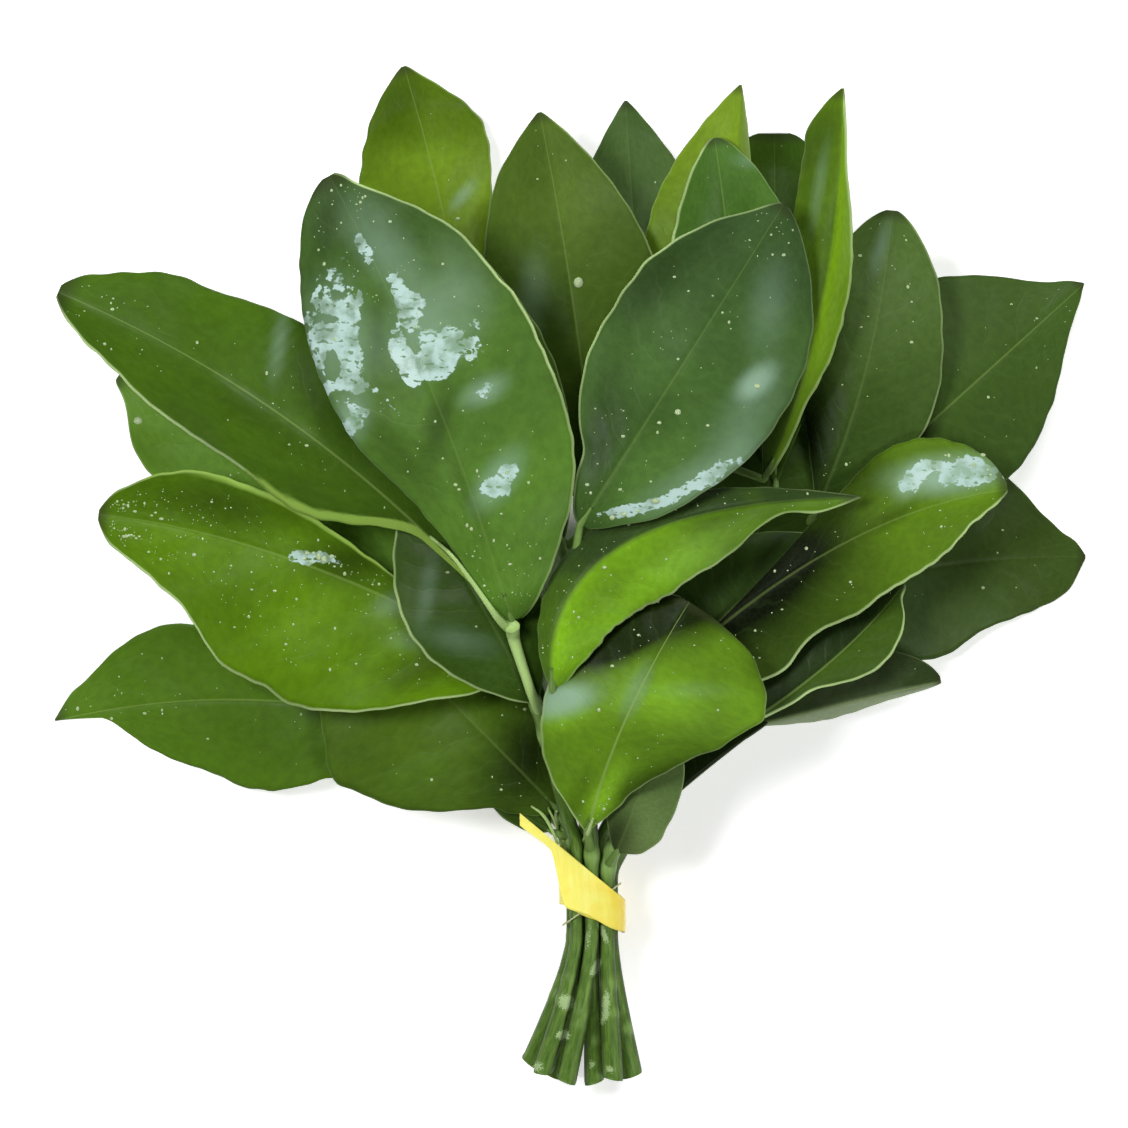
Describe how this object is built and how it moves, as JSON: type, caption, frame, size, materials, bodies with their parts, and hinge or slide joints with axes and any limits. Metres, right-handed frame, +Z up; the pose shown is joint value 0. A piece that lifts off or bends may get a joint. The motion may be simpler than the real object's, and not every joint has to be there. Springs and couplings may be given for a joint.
{
  "type": "pomelo leaf sprig",
  "caption": "Lying bunch of leafy pomelo stems, tied near the cut ends with a slanting yellow tape and a thin thread.",
  "frame": {"origin": "on the surface that the bunch lies on, under the middle of its box", "axes": "+Z up from the surface, +Y from the cut ends towards the leaf tips, +X to the right seen from above"},
  "size_m": [0.2678, 0.2653, 0.0639],
  "materials": {
    "low_right_leaf": "fresh leathery leaf, deep green, waxy",
    "low_left_leaf": "fresh leathery leaf, deep green, waxy",
    "right_back_leaf": "fresh leathery leaf, mid green, waxy",
    "top_back_leaf": "fresh leathery leaf, cool green, waxy",
    "top_left_leaf": "fresh leathery leaf, mid green, waxy",
    "right_front_leaf": "fresh leathery leaf, yellowish green, waxy",
    "left_front_leaf": "fresh leathery leaf, cool deep green, wet",
    "middle_front_leaf": "fresh leathery leaf, bright green, wet",
    "tape": "thin yellow bundling tape, slightly see-through",
    "thread": "pale twisted thread"
  },
  "bodies": {
    "root": {"low_right_stem": "low_right_leaf", "low_left_stem": "low_left_leaf", "right_back_stem": "right_back_leaf", "top_back_stem": "top_back_leaf", "top_left_stem": "top_left_leaf", "right_front_stem": "right_front_leaf", "left_front_stem": "left_front_leaf", "middle_front_stem": "middle_front_leaf", "tape_band": "tape", "tie_thread": "thread"}
  },
  "joints": []
}
